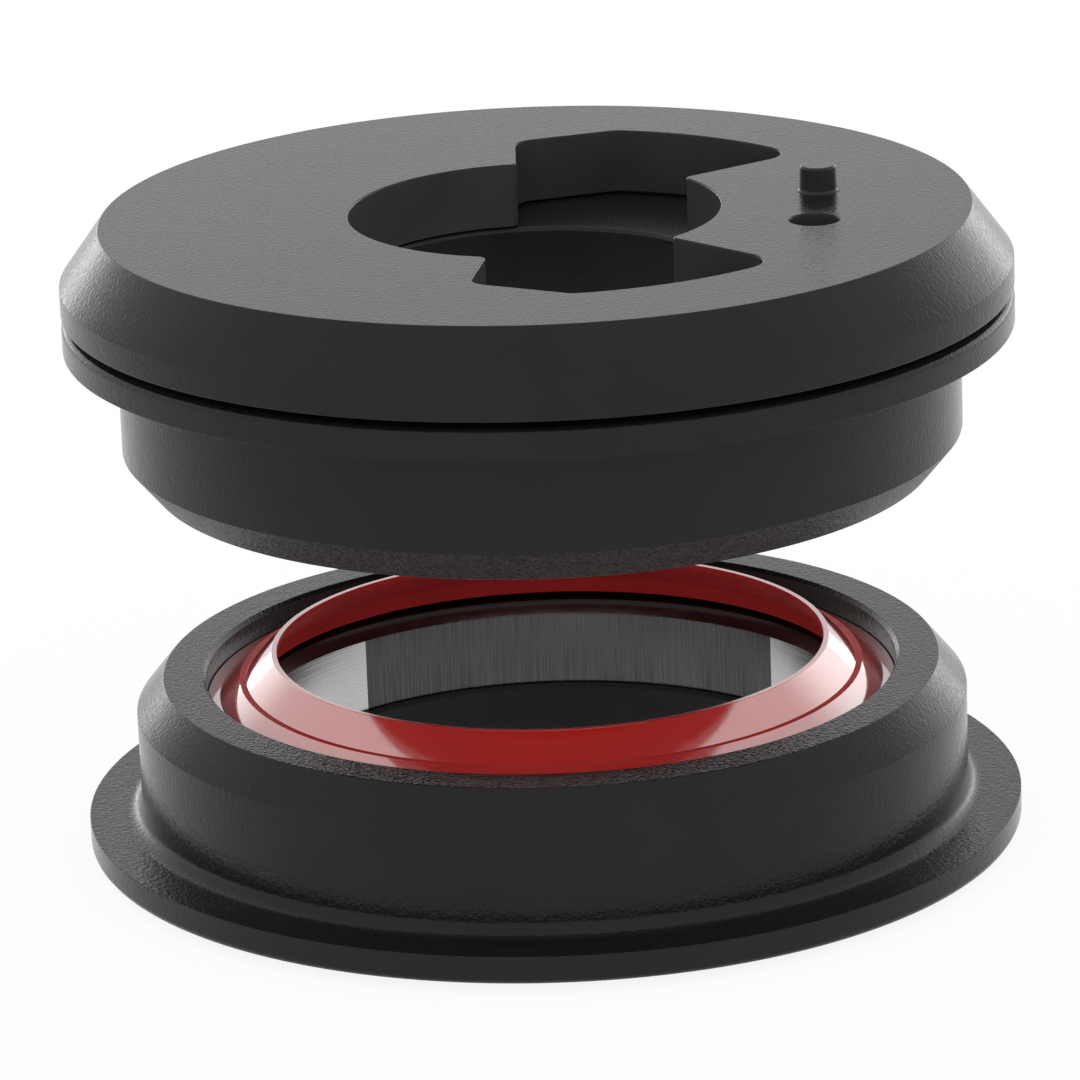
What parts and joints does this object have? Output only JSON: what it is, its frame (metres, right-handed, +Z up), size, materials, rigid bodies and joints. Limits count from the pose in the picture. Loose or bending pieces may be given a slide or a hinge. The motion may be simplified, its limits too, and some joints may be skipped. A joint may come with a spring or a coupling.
{
  "type": "bicycle headset",
  "caption": "Press-in headset with a recessed top cover, split compression ring, sealed cartridge bearings, conical steerer wiper and crown race, on one steering axis.",
  "frame": {"origin": "on the steering axis, at the bottom of the crown race, which is the lowest face", "axes": "+Z up along the steering axis, +X along the mirror line of the cover's two wing recesses, towards the locating pin and the key hole"},
  "size_m": [0.0744, 0.0744, 0.053],
  "materials": {
    "cover_black": "black coating with a fine grain, satin",
    "cup_black": "black coating with a fine grain, satin",
    "ring_black": "black anodised, satin",
    "crown_black": "black anodised, matte",
    "pin_black": "blackened steel, satin",
    "race_steel": "ground steel with fine lines",
    "ball_steel": "polished bearing steel",
    "cage_plastic": "natural nylon",
    "black_rubber": "black nitrile rubber, matte",
    "red_rubber": "glossy red elastomer"
  },
  "bodies": {
    "lower_cup_group": {"lower_cup": "cup_black", "lower_bearing_outer_race": "race_steel", "lower_bearing_face_seal": "black_rubber", "lower_bearing_nose_seal": "black_rubber", "steerer_wiper_seal": "red_rubber"},
    "crown_group": {"lower_bearing_inner_race": "race_steel", "crown_race": "crown_black", "crown_race_seal": "black_rubber"},
    "lower_ball_set": {"lower_bearing_balls": "ball_steel", "lower_bearing_cage": "cage_plastic"},
    "upper_cup_group": {"upper_cup": "cup_black", "upper_bearing_outer_race": "race_steel", "upper_bearing_face_seal": "black_rubber", "upper_bearing_nose_seal": "black_rubber"},
    "cover_group": {"top_cover": "cover_black", "locating_pin": "pin_black", "cover_seal": "black_rubber", "compression_ring": "ring_black", "upper_bearing_inner_race": "race_steel"},
    "upper_ball_set": {"upper_bearing_balls": "ball_steel", "upper_bearing_cage": "cage_plastic"}
  },
  "joints": [
    {"name": "head_tube_span", "type": "slide", "parent": "lower_cup_group", "child": "upper_cup_group", "axis": [0, 0, 1], "range_m": [0, 0.14]},
    {"name": "cover_turn", "type": "hinge", "parent": "upper_cup_group", "child": "cover_group", "pos_m": [0, 0, 0.0388], "axis": [0, 0, 1], "continuous": true},
    {"name": "upper_ball_turn", "type": "hinge", "parent": "upper_cup_group", "child": "upper_ball_set", "pos_m": [0, 0, 0.038], "axis": [0, 0, 1], "continuous": true},
    {"name": "crown_turn", "type": "hinge", "parent": "lower_cup_group", "child": "crown_group", "pos_m": [0, 0, 0.0066], "axis": [0, 0, 1], "continuous": true},
    {"name": "lower_ball_turn", "type": "hinge", "parent": "lower_cup_group", "child": "lower_ball_set", "pos_m": [0, 0, 0.0066], "axis": [0, 0, 1], "continuous": true}
  ],
  "couplings": [
    {"joint": "upper_ball_turn", "follows": "cover_turn", "ratio": 0.463},
    {"joint": "lower_ball_turn", "follows": "crown_turn", "ratio": 0.463}
  ]
}
